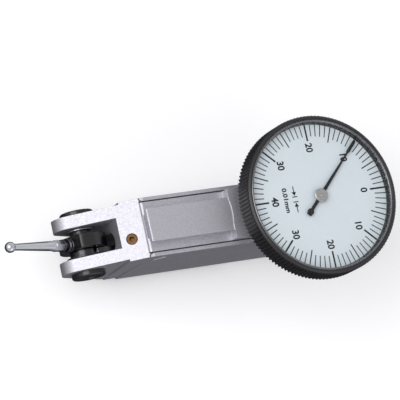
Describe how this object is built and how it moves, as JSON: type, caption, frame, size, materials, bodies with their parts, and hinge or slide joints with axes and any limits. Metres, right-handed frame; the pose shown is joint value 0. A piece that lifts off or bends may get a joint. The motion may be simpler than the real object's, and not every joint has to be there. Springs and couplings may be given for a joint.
{
  "type": "dial test indicator",
  "caption": "Lever-type dial test indicator: ball stylus on a friction clutch in a forked metal body with dovetails, geared to a pointer on a dial under a turning knurled bezel.",
  "frame": {"origin": "on the plane the instrument rests on when it lies on its back dovetail, under the middle of its overall length and width", "axes": "+Z square to the dial face, out of the dial; +X along the body from the stylus to the dial; +Y completes the frame, along the stylus pivot axis"},
  "size_m": [0.0742, 0.0298, 0.0291],
  "materials": {
    "satin_body": "satin chrome, fine bead-blasted grain",
    "black_bezel": "black anodised, straight knurl",
    "black_ring": "black anodised, polished bevel",
    "bright_ring": "turned, bright",
    "dial_face": "matt pale enamel with printed black scale",
    "crystal": "clear polished acrylic",
    "pointer_black": "satin black",
    "bright_boss": "turned and polished",
    "black_holder": "blackened steel, glossy",
    "black_screws": "blackened steel",
    "brass_screw": "turned brass",
    "polished_stylus": "polished hardened steel",
    "sleeve_metal": "dark turned steel",
    "lever_steel": "ground steel, bright edges",
    "spring_steel": "plain spring steel",
    "small_screws": "plain steel",
    "movement_brass": "brushed brass",
    "arbor_steel": "polished steel",
    "ruby": "polished synthetic ruby"
  },
  "bodies": {
    "frame_body": {"main_frame": "satin_body", "dovetail_cover": "satin_body", "rear_dovetail_cover": "satin_body", "rear_cover_screws": "small_screws", "cover_dowel_pins": "spring_steel", "set_screw": "brass_screw", "pivot_screws": "black_screws", "dial_case": "satin_body", "case_screws": "small_screws", "bezel_retaining_ring": "spring_steel", "bezel_friction_spring": "spring_steel", "movement_bridge": "movement_brass", "bridge_screws": "small_screws", "upper_jewel": "ruby", "lower_bridge": "movement_brass", "lower_bridge_screw": "small_screws", "lower_jewel": "ruby", "cross_shaft_jewels": "ruby", "stop_pins": "spring_steel", "hairspring": "spring_steel", "hairspring_stud": "movement_brass"},
    "bezel_body": {"bezel": "black_bezel", "dial_plate": "dial_face", "dial_retaining_ring": "black_ring", "crystal_ring": "bright_ring", "crystal": "crystal"},
    "pointer_body": {"pointer_arbor": "arbor_steel", "centre_pinion": "arbor_steel", "hairspring_collet": "movement_brass", "pointer": "pointer_black", "pointer_boss": "bright_boss"},
    "cross_shaft_body": {"cross_shaft": "arbor_steel", "cross_pinion": "arbor_steel", "crown_gear": "movement_brass"},
    "lever_body": {"sector_lever": "lever_steel", "lever_bushing": "lever_steel"},
    "stylus_body": {"stylus_holder": "black_holder", "friction_disc": "black_holder", "friction_spring_washer": "spring_steel", "stylus_sleeve": "sleeve_metal", "stylus_shank": "polished_stylus", "stylus_ball": "polished_stylus"}
  },
  "joints": [
    {"name": "bezel_turn", "type": "hinge", "parent": "frame_body", "child": "bezel_body", "pos_m": [0.02215, 0, 0.0262], "axis": [0, 0, 1], "continuous": true},
    {"name": "lever_swing", "type": "hinge", "parent": "frame_body", "child": "lever_body", "pos_m": [-0.01905, 0, 0.01155], "axis": [0, 1, 0], "range_deg": [-1.5, 1.5], "stiffness_Nm_per_rad": 0.18, "springref_deg": -0.06},
    {"name": "cross_shaft_spin", "type": "hinge", "parent": "frame_body", "child": "cross_shaft_body", "pos_m": [0.02215, 0, 0.01561], "axis": [0, 1, 0], "range_deg": [-50.5, 50.5]},
    {"name": "pointer_spin", "type": "hinge", "parent": "frame_body", "child": "pointer_body", "pos_m": [0.02215, 0, 0.0275], "axis": [0, 0, 1], "range_deg": [-223, 223]},
    {"name": "stylus_swivel", "type": "hinge", "parent": "lever_body", "child": "stylus_body", "pos_m": [-0.01905, 0, 0.01155], "axis": [0, 1, 0], "range_deg": [-125, 80]}
  ],
  "couplings": [
    {"joint": "cross_shaft_spin", "follows": "lever_swing", "ratio": -33.5},
    {"joint": "pointer_spin", "follows": "lever_swing", "ratio": 147.96}
  ]
}
